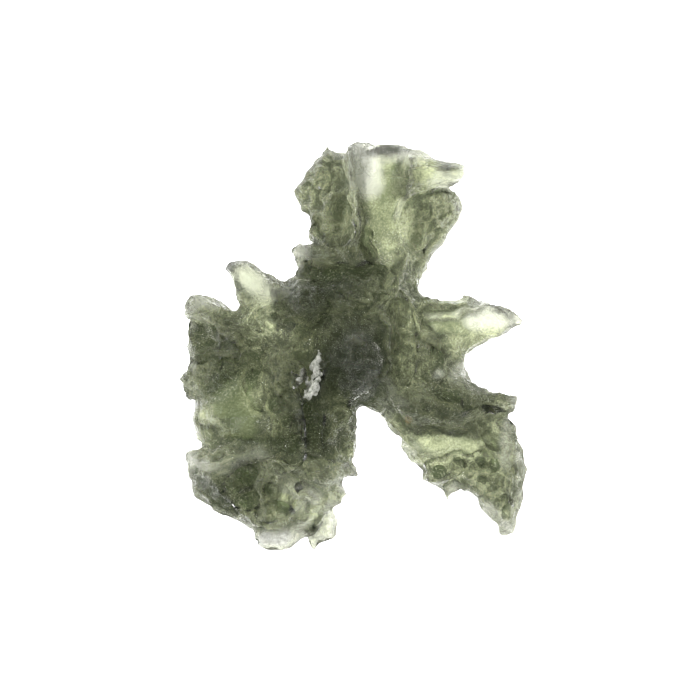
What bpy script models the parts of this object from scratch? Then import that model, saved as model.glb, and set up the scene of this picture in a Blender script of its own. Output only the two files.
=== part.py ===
"""A moldavite: one piece of green natural glass, etched into three lobes of fins and spikes.

Lengths below are millimetres, heights are above the surface the stone lies on, and the finished
stone is scaled to metres. X points right and Y up as the stone is looked down on, and Z up at you.
"""

import math

import bmesh
import bpy
import numpy as np
from mathutils import Matrix, Vector, noise
from mathutils.bvhtree import BVHTree
from mathutils.geometry import normal

# Driving dimensions
STONE_LENGTH = 28.0
STONE_WIDTH = 24.1
FUSE_VOXEL = 0.15
EVEN_VOXEL = 0.13
MOST_TRIANGLES = 9700
SHORTEST_EDGE = 0.05
MM = 0.001

# How a fin swells from its rim to its hub: (share of the way in, share of its full thickness)
FIN_PROFILE = ((0.06, 0.28), (0.22, 0.68), (0.6, 0.95))

# The fins, each with its hub, swell above the hub, swell below it and rim points
FINS = {
    "core slab": ((-0.3, 0.2, 4.9), 2.6, 3.0, (
        (-3.9, 5.25, 5.2), (-4.6, 4.6, 5.2), (-5.3, 4.5, 5.2), (-6.2, 2.8, 5.0), (-6.0, 0.0, 4.8),
        (-5.5, -3.0, 4.8), (-4.5, -6.0, 5.0), (-2.5, -7.6, 5.0), (0.3, -7.9, 4.8), (0.45, -6.9, 4.7),
        (0.5, -6.0, 4.6), (0.4, -4.7, 4.6), (0.45, -4.4, 4.8), (1.0, -4.45, 4.9), (1.6, -4.55, 4.9),
        (2.2, -5.0, 4.8), (4.0, -4.6, 4.8), (6.0, -2.5, 4.9), (6.0, 1.0, 5.0), (5.4, 3.4, 4.9),
        (5.0, 3.75, 4.8), (4.85, 4.3, 4.7), (4.2, 6.0, 4.7), (1.0, 6.8, 4.8), (-2.4, 6.2, 5.0))),
    "top channel": ((1.9, 9.0, 5.0), 1.6, 2.1, (
        (-0.6, 13.1, 6.2), (-0.3, 13.6, 6.5), (0.05, 14.0, 6.6), (0.5, 13.9, 6.4), (0.95, 13.95, 6.2),
        (1.6, 13.75, 5.9), (2.8, 13.75, 5.8), (3.6, 13.65, 5.9), (4.3, 13.5, 6.0), (4.5, 11.0, 5.2),
        (4.4, 8.5, 4.7), (4.6, 6.5, 4.5), (4.6, 5.0, 4.6), (2.6, 4.0, 5.4), (0.2, 4.6, 5.8),
        (-0.6, 7.2, 5.4), (-0.4, 10.0, 5.4))),
    "top left flap": ((-1.7, 10.3, 4.3), 1.6, 2.1, (
        (-0.6, 13.15, 4.8), (-1.1, 13.3, 4.6), (-1.45, 13.5, 4.5), (-1.75, 13.7, 4.4), (-2.1, 13.15, 4.3),
        (-2.7, 12.6, 4.0), (-3.25, 12.1, 3.8), (-3.7, 11.3, 3.6), (-4.1, 10.6, 3.5), (-4.3, 9.95, 3.5),
        (-4.05, 9.55, 3.6), (-3.7, 9.2, 3.8), (-3.35, 8.7, 4.0), (-3.0, 8.5, 4.1), (-3.0, 7.6, 4.3),
        (-3.25, 7.1, 4.6), (-1.6, 6.0, 5.2), (0.6, 7.0, 5.4), (0.9, 10.0, 5.2), (0.4, 12.6, 5.2))),
    "north west spur": ((-2.2, 6.2, 6.1), 0.7, 1.5, (
        (-4.65, 6.55, 5.3), (-4.3, 6.8, 5.4), (-3.9, 7.05, 5.6), (-3.3, 7.05, 5.9), (-1.4, 7.4, 6.2),
        (0.3, 6.9, 6.5), (0.4, 6.0, 6.8), (-0.5, 5.6, 6.9), (-1.4, 5.4, 6.8), (-1.8, 5.05, 6.7),
        (-2.3, 5.05, 6.6), (-2.7, 5.3, 6.4), (-3.2, 5.5, 6.1), (-3.9, 5.2, 5.7), (-4.0, 5.7, 5.5),
        (-4.3, 6.1, 5.4))),
    "north east spike": ((5.2, 11.6, 6.1), 1.5, 1.7, (
        (8.2, 11.9, 6.6), (7.75, 12.25, 6.6), (7.3, 12.35, 6.6), (6.5, 12.55, 6.5), (5.9, 12.75, 6.4),
        (5.3, 13.1, 6.3), (4.9, 13.4, 6.2), (4.2, 13.55, 6.1), (3.4, 13.2, 6.2), (3.3, 11.0, 6.5),
        (3.2, 9.6, 6.4), (4.2, 10.0, 6.0), (5.2, 10.1, 5.9), (5.9, 10.4, 6.0), (6.9, 10.5, 6.2),
        (7.4, 10.75, 6.3), (7.8, 11.2, 6.5))),
    "north east flap": ((4.9, 8.3, 4.2), 1.3, 2.0, (
        (6.9, 10.9, 4.5), (7.5, 10.5, 4.2), (7.8, 10.0, 4.0), (7.8, 9.3, 3.9), (7.8, 8.8, 3.8),
        (7.4, 8.2, 3.8), (6.9, 7.5, 3.7), (6.4, 6.8, 3.7), (5.8, 6.2, 3.8), (5.5, 5.9, 3.9),
        (5.5, 5.6, 4.0), (5.4, 5.2, 4.1), (5.1, 4.8, 4.2), (4.8, 4.2, 4.4), (2.8, 5.0, 4.8),
        (2.6, 8.0, 5.0), (3.4, 10.2, 5.0), (5.4, 10.9, 4.8))),
    "west spike": ((-6.6, 4.0, 5.9), 1.1, 1.6, (
        (-8.95, 5.35, 6.2), (-8.75, 5.7, 6.3), (-8.3, 5.9, 6.3), (-7.8, 5.95, 6.3), (-7.3, 5.95, 6.2),
        (-6.7, 5.75, 6.1), (-5.9, 5.2, 6.0), (-5.1, 4.6, 6.0), (-4.4, 4.4, 6.1), (-4.4, 2.8, 6.2),
        (-6.0, 2.0, 6.0), (-7.5, 2.2, 5.8), (-8.0, 2.7, 5.8), (-8.15, 3.5, 5.9), (-8.35, 4.2, 6.0),
        (-8.5, 4.75, 6.1))),
    "west knob": ((-10.0, 2.5, 5.2), 1.4, 1.9, (
        (-11.85, 2.1, 5.0), (-11.7, 2.6, 5.2), (-11.5, 3.3, 5.4), (-11.1, 3.6, 5.5), (-10.7, 3.75, 5.5),
        (-10.1, 3.55, 5.4), (-9.5, 3.4, 5.3), (-9.0, 3.15, 5.2), (-8.4, 2.85, 5.2), (-7.9, 2.5, 5.2),
        (-7.0, 1.6, 5.3), (-8.2, 0.9, 5.2), (-10.0, 1.2, 5.0), (-11.4, 1.65, 4.9))),
    "west ledge": ((-9.6, -0.6, 4.7), 1.6, 3.0, (
        (-11.4, 1.7, 4.7), (-11.5, 1.0, 4.6), (-11.55, 0.2, 4.5), (-11.5, -0.4, 4.4), (-11.35, -0.9, 4.4),
        (-11.7, -1.5, 4.3), (-12.25, -2.25, 4.2), (-12.05, -2.6, 4.1), (-11.75, -2.75, 4.1),
        (-11.8, -3.2, 4.0), (-11.6, -3.75, 4.0), (-10.85, -3.7, 4.0), (-9.0, -3.0, 4.6),
        (-7.0, -1.5, 5.0), (-7.2, 0.5, 5.1), (-8.6, 1.6, 5.1))),
    "west panel": ((-7.8, -3.8, 4.0), 1.5, 2.8, (
        (-11.3, -2.0, 3.6), (-10.9, -3.9, 3.4), (-11.1, -4.6, 3.3), (-11.25, -5.3, 3.3),
        (-11.15, -5.9, 3.3), (-11.05, -6.4, 3.3), (-10.8, -6.8, 3.4), (-9.0, -7.2, 3.6),
        (-5.6, -7.0, 4.0), (-4.2, -4.0, 4.6), (-4.0, -1.0, 4.8), (-4.6, 1.8, 4.8), (-7.0, 1.8, 4.6),
        (-10.2, 0.6, 4.0))),
    "south west lobe": ((-6.2, -9.3, 4.7), 1.8, 2.6, (
        (-11.85, -7.4, 4.8), (-11.65, -6.95, 4.9), (-11.1, -6.75, 5.0), (-10.2, -6.6, 5.1),
        (-9.2, -6.3, 5.1), (-7.6, -6.4, 5.2), (-6.0, -6.2, 5.4), (-4.4, -6.0, 5.8), (-2.6, -6.0, 6.0),
        (-0.8, -6.7, 6.1), (0.3, -8.0, 5.8), (0.8, -8.6, 5.6), (0.75, -8.95, 5.5), (-0.2, -9.1, 5.3),
        (-0.1, -9.7, 5.0), (-0.1, -10.4, 4.8), (-0.8, -11.1, 4.7), (-1.6, -11.4, 4.6),
        (-2.0, -12.3, 4.6), (-2.3, -12.9, 4.5), (-3.3, -13.15, 4.5), (-3.75, -13.4, 4.5),
        (-4.05, -13.8, 4.4), (-4.7, -14.05, 4.3), (-5.2, -14.0, 4.3), (-5.8, -14.05, 4.3),
        (-6.3, -13.8, 4.3), (-6.85, -13.5, 4.4), (-7.15, -12.8, 4.4), (-7.6, -12.35, 4.4),
        (-8.2, -11.9, 4.4), (-8.7, -11.5, 4.4), (-9.1, -11.55, 4.3), (-9.9, -11.1, 4.3),
        (-10.3, -10.6, 4.3), (-10.75, -10.3, 4.3), (-10.9, -9.7, 4.4), (-11.35, -8.9, 4.5),
        (-11.5, -8.2, 4.6))),
    "south leaf": ((-1.8, -12.0, 3.0), 0.45, 0.5, (
        (-1.0, -11.0, 3.2), (-0.85, -11.6, 3.1), (-0.75, -12.1, 2.9), (-0.9, -12.8, 2.7),
        (-1.15, -13.25, 2.6), (-1.9, -13.5, 2.6), (-2.4, -13.45, 2.6), (-2.9, -12.4, 3.0),
        (-2.6, -11.2, 3.4), (-1.8, -10.6, 3.6))),
    "south thorn": ((-2.8, -12.9, 2.9), 0.4, 0.45, (
        (-3.3, -13.1, 2.9), (-3.1, -13.6, 2.8), (-2.85, -14.0, 2.7), (-2.4, -14.0, 2.7),
        (-2.3, -13.3, 2.8), (-2.3, -12.3, 3.1), (-3.3, -12.2, 3.2))),
    "east spike": ((7.4, 1.2, 5.5), 1.3, 1.8, (
        (11.9, 1.65, 6.0), (11.6, 2.05, 6.0), (11.3, 2.35, 6.0), (10.9, 2.5, 5.9), (10.6, 2.75, 5.9),
        (10.2, 2.8, 5.9), (9.85, 3.0, 5.8), (9.6, 3.3, 5.8), (9.3, 3.15, 5.8), (8.5, 3.25, 5.8),
        (8.2, 3.65, 5.8), (7.9, 3.75, 5.8), (7.4, 3.4, 5.8), (6.6, 3.35, 5.7), (5.8, 3.35, 5.6),
        (5.0, 3.65, 5.5), (3.8, 3.0, 5.6), (3.6, 0.5, 5.8), (4.6, -1.8, 5.8), (6.6, -2.8, 5.6),
        (8.3, -2.3, 5.2), (7.85, -1.8, 5.1), (7.8, -1.3, 5.1), (8.1, -0.8, 5.2), (8.4, -0.5, 5.3),
        (9.25, -0.1, 5.5), (10.4, 0.5, 5.7), (11.3, 1.0, 5.9))),
    "east flap": ((8.3, -3.5, 6.0), 1.1, 2.4, (
        (10.5, -2.95, 6.2), (10.55, -3.25, 6.2), (11.6, -3.3, 6.2), (11.75, -3.7, 6.1), (11.45, -4.4, 6.0),
        (11.0, -5.1, 5.8), (10.0, -4.75, 6.0), (9.2, -4.6, 6.2), (8.6, -4.35, 6.4), (7.7, -4.5, 6.5),
        (6.9, -4.0, 6.6), (6.1, -3.4, 6.6), (5.2, -2.4, 6.4), (6.4, -1.6, 6.2), (7.6, -1.9, 6.0),
        (8.3, -2.35, 5.9), (9.2, -2.65, 6.0), (9.65, -3.0, 6.1))),
    "south east lobe": ((8.2, -8.2, 4.4), 1.2, 1.7, (
        (10.8, -4.85, 4.8), (11.4, -5.2, 4.8), (11.65, -6.0, 4.7), (11.85, -6.6, 4.7), (12.0, -7.2, 4.6),
        (12.05, -7.7, 4.6), (12.3, -8.2, 4.5), (12.25, -9.0, 4.4), (12.2, -9.8, 4.4), (11.95, -10.4, 4.3),
        (11.7, -11.2, 4.3), (11.5, -11.95, 4.2), (11.3, -12.8, 4.2), (10.35, -13.2, 4.2),
        (10.0, -12.7, 4.2), (9.85, -12.45, 4.2), (9.35, -12.1, 4.2), (9.15, -11.45, 4.3), (8.65, -11.15, 4.3),
        (8.45, -10.5, 4.4), (7.8, -10.15, 4.5), (7.2, -10.05, 4.6), (6.0, -9.6, 4.4), (5.0, -9.3, 4.3),
        (4.7, -9.2, 4.3), (4.55, -8.6, 4.3), (4.2, -8.0, 4.3), (3.65, -7.8, 4.3), (3.1, -7.0, 4.3),
        (2.7, -6.4, 4.4), (2.25, -5.9, 4.5), (2.05, -5.05, 4.6), (1.1, -4.5, 4.8), (2.0, -2.8, 5.2),
        (5.0, -1.6, 5.4), (8.0, -3.0, 5.2))),
    "south east thorn": ((6.1, -9.0, 3.9), 0.8, 0.9, (
        (6.6, -10.85, 4.0), (6.2, -10.4, 4.0), (5.75, -9.95, 4.0), (5.05, -9.4, 4.0), (4.7, -8.6, 4.0),
        (5.4, -7.6, 4.1), (7.2, -8.0, 4.1), (7.6, -9.6, 4.1), (7.1, -10.2, 4.0))),
}

# Rounded masses of glass that lie between the fins, each with its centre and half sizes
LUMPS = {
    "core upper lump": ((-2.2, 3.1, 6.6), (3.0, 1.7, 1.9)),
    "core upper root": ((-1.7, 3.7, 3.8), (3.2, 2.2, 2.4)),
    "core centre lump": ((0.1, -1.1, 6.6), (2.4, 2.6, 2.7)),
    "core south lump": ((-2.5, -5.0, 4.8), (2.3, 2.8, 3.3)),
    "core east lump": ((3.5, 0.4, 5.2), (2.4, 2.8, 2.1)),
    "core under": ((-0.6, -0.4, 3.2), (4.2, 3.4, 2.3)),
    "recess floor": ((-0.8, 5.0, 4.3), (2.8, 2.2, 3.3)),
    "left flap root": ((-0.7, 8.6, 3.9), (1.6, 2.8, 1.6)),
    "west panel root": ((-7.2, -5.5, 3.9), (2.6, 1.7, 1.8)),
    "west ledge root": ((-8.9, 0.0, 4.3), (2.3, 1.8, 2.9)),
    "south west shoulder": ((-9.2, -9.4, 4.2), (2.0, 1.6, 2.7)),
    "east flap root": ((6.8, -4.6, 4.5), (2.8, 1.5, 3.0)),
    "south east edge": ((11.0, -7.9, 4.4), (0.8, 2.7, 1.3)),
    "west root": ((-6.3, 1.7, 5.1), (1.9, 1.6, 1.3)),
    "south west root": ((-4.6, -5.6, 4.4), (2.1, 2.4, 2.5)),
    "east notch root": ((6.9, -1.9, 5.6), (1.3, 1.1, 1.3)),
    "core west lump": ((-4.6, -2.0, 4.6), (1.7, 2.4, 2.6)),
    "south east root": ((4.6, -3.6, 5.6), (2.2, 1.9, 1.8)),
}

# Spikes on the underside: (foot point, root point, radius at the root). The lowest three carry it.
SPIKES = (
    ((-1.1, 10.2, -0.8), (-0.8, 8.8, 4.0), 1.3),
    ((-7.6, -10.2, -0.9), (-6.6, -9.4, 4.0), 1.7),
    ((9.2, -9.0, -0.8), (8.9, -8.3, 4.0), 1.2),
    ((-8.6, -1.6, 1.2), (-7.4, -2.2, 3.6), 1.4),
    ((6.2, -1.2, 1.2), (5.2, -0.8, 4.4), 1.3),
    ((-1.6, -0.6, 0.7), (-0.6, -0.6, 3.4), 1.8),
    ((2.2, 3.9, 0.8), (1.2, 3.2, 3.6), 1.4),
    ((-3.4, 5.6, 2.0), (-2.4, 4.4, 4.2), 1.2),
    ((-3.0, -11.8, 1.0), (-4.0, -10.6, 3.8), 1.2),
    ((4.6, -5.2, 0.9), (4.2, -4.4, 4.0), 1.5),
    ((-2.2, 10.6, 1.8), (-1.4, 9.8, 4.2), 1.1),
    ((5.4, 8.8, 1.7), (4.4, 8.4, 4.0), 1.1),
    ((-10.0, 2.0, 2.2), (-9.0, 1.4, 4.6), 1.1),
    ((10.4, -11.0, 1.6), (9.6, -9.8, 4.0), 1.0),
)

# Sharp ridges on the upper side: (height, half width, points as seen from above)
RIDGES = (
    (0.9, 0.8, ((-0.1, 13.9), (-0.1, 12.0), (0.05, 10.2), (0.2, 8.6), (0.6, 7.0), (1.2, 5.8))),
    (0.4, 0.9, ((4.0, 13.4), (3.95, 11.8), (3.5, 10.0), (3.0, 8.8), (2.6, 7.9))),
    (0.39, 0.68, ((5.3, 9.4), (5.7, 8.8), (6.4, 8.0))),
    (0.33, 0.75, ((4.6, 8.6), (5.2, 7.8), (5.6, 6.9))),
    (0.45, 0.75, ((-11.7, 2.2), (-11.0, 2.1), (-10.2, 1.9), (-9.4, 1.5), (-8.4, 1.3))),
    (0.45, 0.75, ((-9.2, 1.2), (-8.6, 0.4), (-7.6, 0.1), (-6.9, -0.3), (-6.4, -1.0))),
    (0.59, 0.9, ((-11.6, -7.6), (-10.4, -8.4), (-9.2, -8.5), (-8.2, -8.1), (-7.0, -7.7), (-5.8, -7.5))),
    (0.52, 0.9, ((-5.8, -7.5), (-4.4, -7.7), (-3.2, -8.4), (-2.2, -9.6), (-2.0, -10.8))),
    (0.45, 0.75, ((-9.2, -8.6), (-8.9, -9.6), (-8.2, -10.8), (-6.8, -11.6), (-6.2, -12.6))),
    (0.59, 0.75, ((-3.6, -6.6), (-2.4, -7.2), (-1.0, -7.6), (0.4, -8.7))),
    (0.33, 0.68, ((-3.0, -8.6), (-1.4, -8.5), (0.0, -8.8))),
    (0.52, 0.9, ((6.8, -3.9), (7.6, -4.4), (8.6, -4.3), (10.0, -4.6), (10.8, -4.8))),
    (0.39, 0.6, ((6.8, -2.4), (7.8, -2.7), (8.8, -3.1))),
    (0.52, 0.9, ((10.4, -5.4), (10.6, -6.6), (10.3, -8.0), (10.4, -9.4), (10.8, -11.0), (10.9, -12.2))),
    (0.39, 0.68, ((11.2, -6.6), (11.3, -8.4), (11.4, -9.8))),
    (0.33, 0.75, ((3.3, -6.4), (4.2, -7.2), (5.0, -8.6), (5.9, -9.8))),
    (0.39, 0.75, ((5.2, 2.9), (7.2, 2.7), (8.8, 2.75), (10.6, 2.4))),
    (0.33, 0.75, ((4.6, 1.2), (5.2, 0.4), (5.9, -0.8), (6.2, -2.0))),
    (0.59, 0.9, ((-1.6, 0.6), (-0.2, 0.9), (1.2, 0.5), (2.1, -0.6), (2.3, -2.0), (2.6, -3.8))),
    (1.2, 0.45, ((-2.5, -0.4), (-2.1, -1.2), (-2.0, -2.2), (-2.35, -3.1), (-3.1, -3.6))),
    (1.1, 0.45, ((-3.6, -1.1), (-3.95, -2.0), (-3.85, -3.0), (-3.1, -3.6))),
)

# Etched gullies and pits on the upper side: (depth, half width, points as seen from above)
GULLIES = (
    (0.4, 1.9, ((1.7, 13.6), (1.9, 12.0), (2.0, 10.0), (2.0, 8.2), (2.2, 6.6))),
    (0.5, 0.7, ((0.95, 14.0), (0.95, 11.2))),
    (0.3, 0.5, ((-2.7, 4.8), (-1.6, 4.75), (-0.4, 4.95), (0.8, 5.0))),
    (0.9, 0.7, ((-0.7, 9.4), (-0.9, 8.4), (-1.2, 7.2))),
    (1.0, 0.5, ((0.9, 7.6), (0.85, 6.8), (1.2, 6.2))),
    (0.5, 0.8, ((-5.9, 1.7), (-5.2, 1.5), (-4.6, 1.3), (-4.6, 0.4))),
    (1.2, 0.8, ((-10.9, 1.1), (-10.2, 0.6), (-10.0, -0.4))),
    (1.0, 0.6, ((-7.0, 0.2), (-6.9, -1.4), (-6.8, -2.8), (-6.5, -3.6))),
    (0.9, 0.7, ((-5.2, -4.2), (-4.6, -5.4), (-4.9, -6.4), (-4.0, -7.2))),
    (0.9, 0.6, ((-2.8, -3.9), (-2.5, -5.2), (-2.7, -6.6))),
    (0.6, 0.6, ((-10.4, -9.2), (-9.8, -9.9), (-9.2, -10.6))),
    (1.1, 0.7, ((-8.0, -9.4), (-7.3, -8.8), (-6.9, -8.6))),
    (0.9, 0.6, ((-7.6, -10.6), (-6.8, -10.2))),
    (1.0, 0.8, ((-5.6, -11.2), (-4.8, -10.2), (-4.6, -9.6))),
    (0.9, 1.1, ((-3.4, -12.2), (-2.8, -11.0), (-2.6, -10.2))),
    (0.8, 0.9, ((-6.0, -13.2), (-4.4, -12.9))),
    (1.1, 0.6, ((5.6, -8.5), (6.2, -8.3))),
    (0.9, 0.45, ((6.9, -8.0), (7.3, -7.7))),
    (1.0, 0.6, ((8.6, -8.0), (9.6, -7.95))),
    (0.8, 0.5, ((6.7, -9.6), (7.3, -9.4))),
    (0.9, 0.7, ((9.4, -6.2), (10.0, -6.4))),
    (0.8, 0.5, ((10.2, -10.7), (10.7, -11.3))),
    (0.5, 1.2, ((5.4, 1.6), (7.4, 1.6), (9.4, 1.8), (10.8, 1.9))),
    (1.1, 0.5, ((5.8, -0.9), (5.8, -1.7))),
    (1.0, 0.8, ((3.2, 2.4), (3.6, 1.2), (3.4, -0.6), (3.4, -1.8))),
    (0.8, 0.7, ((-3.2, 1.2), (-3.4, -0.4), (-3.2, -2.2))),
    (0.8, 0.6, ((4.6, 9.4), (4.3, 8.0), (4.2, 6.8))),
)

# Ridges and gullies of the underside, in the same form
UNDER_RIDGES = (
    (1.3, 0.9, ((-1.6, 12.4), (-1.1, 10.6), (-0.8, 8.8), (-0.6, 6.6))),
    (0.9, 0.7, ((-3.6, 10.4), (-2.4, 9.4), (-1.2, 8.2))),
    (1.0, 0.7, ((6.8, 10.2), (5.6, 9.0), (4.4, 7.6), (3.6, 5.6), (2.6, 3.6))),
    (1.1, 0.8, ((-10.8, 2.4), (-9.2, 0.6), (-7.2, -0.8), (-4.6, -1.6), (-1.6, -0.8))),
    (1.0, 0.8, ((-10.4, -2.4), (-8.6, -1.8), (-7.2, -0.8))),
    (1.3, 0.9, ((-10.2, -9.6), (-8.2, -9.0), (-6.2, -7.4), (-4.4, -5.6), (-2.8, -3.4), (-1.0, -1.2))),
    (1.0, 0.7, ((-6.4, -12.4), (-6.2, -10.6), (-5.2, -8.4), (-3.4, -6.8), (-2.4, -4.6))),
    (0.8, 0.6, ((-1.2, -8.4), (-2.2, -6.4), (-2.2, -4.6))),
    (1.2, 0.9, ((10.9, -12.0), (10.6, -10.0), (10.3, -8.2), (9.5, -6.2), (7.8, -4.9), (5.8, -4.3), (3.8, -3.2),
                (1.8, -1.6))),
    (0.9, 0.7, ((6.2, -10.0), (6.0, -8.6), (6.6, -7.6))),
    (0.9, 0.7, ((10.6, -3.8), (8.8, -3.6), (7.0, -3.2), (5.4, -2.2))),
    (0.8, 0.6, ((9.2, 2.9), (6.8, 2.8), (4.8, 2.4), (2.6, 1.4), (0.8, 0.2))),
    (0.9, 0.7, ((-7.0, 3.6), (-5.4, 3.0), (-3.4, 2.4), (-1.6, 0.8))),
)
UNDER_GULLIES = (
    (0.4, 1.3, ((1.6, 13.6), (1.8, 11.4), (2.0, 9.2), (2.2, 7.2))),
    (0.7, 0.8, ((5.0, 11.6), (6.8, 12.0))),
    (0.5, 0.9, ((-6.0, 0.9), (-4.9, 0.5))),
    (0.8, 0.8, ((-10.2, -5.8), (-9.4, -5.6))),
    (1.3, 1.2, ((-3.6, -12.4), (-2.8, -11.0), (-2.4, -9.8))),
    (1.4, 1.0, ((-6.0, -13.1), (-4.4, -12.9))),
    (1.3, 1.2, ((4.8, -6.6), (6.4, -6.7), (8.2, -6.9))),
    (0.9, 0.8, ((8.4, -10.2), (9.2, -11.2))),
    (0.4, 1.1, ((6.4, 1.2), (8.4, 1.4), (10.6, 1.8))),
    (0.8, 0.6, ((-1.0, -9.9), (-0.6, -9.5))),
)

# Faces that the etching left smooth: (reach, middle line as seen from above)
CALM = (
    (2.2, ((1.9, 13.0), (2.0, 7.4))),
    (1.4, ((6.0, 1.6), (11.0, 1.9))),
    (1.5, ((5.2, -6.4), (9.0, -7.2))),
    (1.5, ((-10.2, -4.6), (-7.2, -3.6), (-7.0, -5.6))),
    (1.0, ((-8.0, 5.0), (-6.4, 4.0))),
    (0.9, ((-4.2, -10.4), (-2.8, -11.2))),
    (1.2, ((5.0, 11.6), (7.2, 12.0))),
)
CALM_LEAST = 0.25

# The etching all over, coarse to fine: (width of a scoop, depth of its middle below its crests)
ETCHING = ((2.7, 0.6), (1.3, 0.34), (0.7, 0.14))
CREST_SHARPNESS = 1.3

# The layers that the flow of the melt left, worn into stacked fins along the flanks
LAYER_SPACING = 1.45
LAYER_DEPTH = 0.6
LAYER_DRIFT = 0.9
LAYER_DRIFT_LENGTH = 4.0

# The rims grow by this much before they are worn, so that their crests end at the stone's outline
RIM_GROWTH = 0.2
SIDEWAYS_WEAR = 0.6

# A gully, and the wear, take at most these shares of the glass under them
MOST_CARVED = 0.4
MOST_WEAR = 0.2
RAY_START = 0.01

# The sheet of fins rises and falls by this much over this distance
WARP_HEIGHT = 0.9
WARP_LENGTH = 5.0

# How fast a carved line fades out as the surface turns away from its side
FACING_GAIN = 2.5

# A ridge rises to its full height over this many of its own half widths
RIDGE_FADE = 1.5

# The tip of a spike, as a share of the radius at its root
SPIKE_TIP = 0.14


def clear_scene():
    for obj in list(bpy.data.objects):
        bpy.data.objects.remove(obj)


def ring(bm, points):
    corners = [bm.verts.new(point) for point in points]
    return [bm.edges.new((corners[i - 1], corners[i])) for i in range(len(corners))]


def fin(bm, hub, above, below, rim):
    """A fin of glass: a sharp rim round a hub, swelling on both sides of the rim's own plane."""
    hub = Vector(hub)
    across = normal([Vector(point) for point in rim])
    if across.z < 0:
        across = -across
    rim_edges = ring(bm, rim)
    for swell in (above, -below):
        outer = rim_edges
        for share_in, share_up in FIN_PROFILE:
            rise = across * swell * share_up
            inner = ring(bm, [Vector(point).lerp(hub, share_in) + rise for point in rim])
            bmesh.ops.bridge_loops(bm, edges=outer + inner)
            outer = inner
        cap = bmesh.ops.edgeloop_fill(bm, edges=outer)["faces"]
        peak = bmesh.ops.poke(bm, faces=cap)["verts"][0]
        peak.co = hub + across * swell


def lump(bm, centre, half_sizes):
    place = Matrix.Translation(centre) @ Matrix.Diagonal((*half_sizes, 1.0))
    bmesh.ops.create_icosphere(bm, subdivisions=3, radius=1.0, matrix=place)


def spike(bm, foot, root, radius):
    """A seven-sided tapering spike from its root in the stone out to its foot."""
    foot = Vector(foot)
    root = Vector(root)
    reach = foot - root
    turn = reach.to_track_quat("Z", "Y").to_matrix().to_4x4()
    place = Matrix.Translation((foot + root) / 2) @ turn
    bmesh.ops.create_cone(bm, cap_ends=True, segments=7, radius1=radius, radius2=radius * SPIKE_TIP,
                          depth=reach.length, matrix=place)


def raw_stone():
    """Every fin, lump and spike in one mesh, still passing through each other."""
    bm = bmesh.new()
    for hub, above, below, rim in FINS.values():
        fin(bm, hub, above, below, rim)
    for centre, half_sizes in LUMPS.values():
        lump(bm, centre, half_sizes)
    for foot, root, radius in SPIKES:
        spike(bm, foot, root, radius)
    bmesh.ops.recalc_face_normals(bm, faces=bm.faces)
    mesh = bpy.data.meshes.new("raw stone")
    bm.to_mesh(mesh)
    bm.free()
    return mesh


def with_modifier(mesh, kind, **settings):
    """The mesh as it comes out of one modifier."""
    obj = bpy.data.objects.new("work", mesh)
    bpy.context.scene.collection.objects.link(obj)
    modifier = obj.modifiers.new(kind, kind)
    for key, value in settings.items():
        setattr(modifier, key, value)
    shaped = bpy.data.meshes.new_from_object(obj.evaluated_get(bpy.context.evaluated_depsgraph_get()))
    bpy.data.objects.remove(obj)
    return shaped


def read_vectors(items, key):
    values = np.empty(len(items) * 3)
    items.foreach_get(key, values)
    return values.reshape(-1, 3)


def spot_distance(points, spot):
    """How far each point lies from a spot, as seen from above."""
    return np.linalg.norm(points[:, :2] - spot, axis=1)


def plan_distance(points, path):
    """How far each point lies from a path, as seen from above."""
    nearest = np.full(len(points), np.inf)
    for start, end in zip(path, path[1:]):
        start = np.array(start)
        step = np.array(end) - start
        share = np.clip((points[:, :2] - start) @ step / (step @ step), 0.0, 1.0)
        nearest = np.minimum(nearest, spot_distance(points, start + share[:, None] * step))
    return nearest


def glass_under(mesh, points, directions):
    """How much glass lies under each point along its direction into the stone."""
    bm = bmesh.new()
    bm.from_mesh(mesh)
    tree = BVHTree.FromBMesh(bm)
    bm.free()
    depths = np.empty(len(points))
    for index, (point, direction) in enumerate(zip(points, directions)):
        inward = Vector(direction)
        distance = tree.ray_cast(Vector(point) + inward * RAY_START, inward)[3]
        depths[index] = distance or 0.0
    return depths


def warp(mesh):
    """Lets the sheet of fins rise and fall, and leaves the feet where they are."""
    points = read_vectors(mesh.vertices, "co")
    waves = np.array([noise.noise(Vector((x, y, 0.0)) / WARP_LENGTH) for x, y, z in points])
    points[:, 2] += WARP_HEIGHT * waves * np.clip(points[:, 2] / WARP_LENGTH, 0.0, 1.0)
    mesh.vertices.foreach_set("co", points.ravel())
    mesh.update()


def carve(mesh, side, ridges, gullies):
    """Raises the sharp ridges and sinks the gullies of one side: 1 for the top, -1 for the underside."""
    points = read_vectors(mesh.vertices, "co")
    facing = np.clip(read_vectors(mesh.vertex_normals, "vector")[:, 2] * side * FACING_GAIN, 0.0, 1.0)
    glass = glass_under(mesh, points, np.tile((0.0, 0.0, -side), (len(points), 1)))
    rise = np.zeros(len(points))
    for height, half_width, path in ridges:
        from_ends = np.minimum(spot_distance(points, path[0]), spot_distance(points, path[-1]))
        fade = np.clip(from_ends / (half_width * RIDGE_FADE), 0.0, 1.0)
        rise += height * fade * np.clip(1.0 - plan_distance(points, path) / half_width, 0.0, 1.0)
    sink = np.zeros(len(points))
    for depth, half_width, path in gullies:
        sink += depth * np.clip(1.0 - (plan_distance(points, path) / half_width) ** 2, 0.0, 1.0)
    points[:, 2] += side * facing * (rise - np.minimum(sink, glass * MOST_CARVED))
    mesh.vertices.foreach_set("co", points.ravel())
    mesh.update()


def scoop(place, width):
    """Etched scoops that meet in sharp crests: 1 in the middle of a scoop and 0 on a crest."""
    nearest, second = noise.voronoi(place / width)[0][:2]
    return min((second - nearest) * CREST_SHARPNESS, 1.0)


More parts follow.
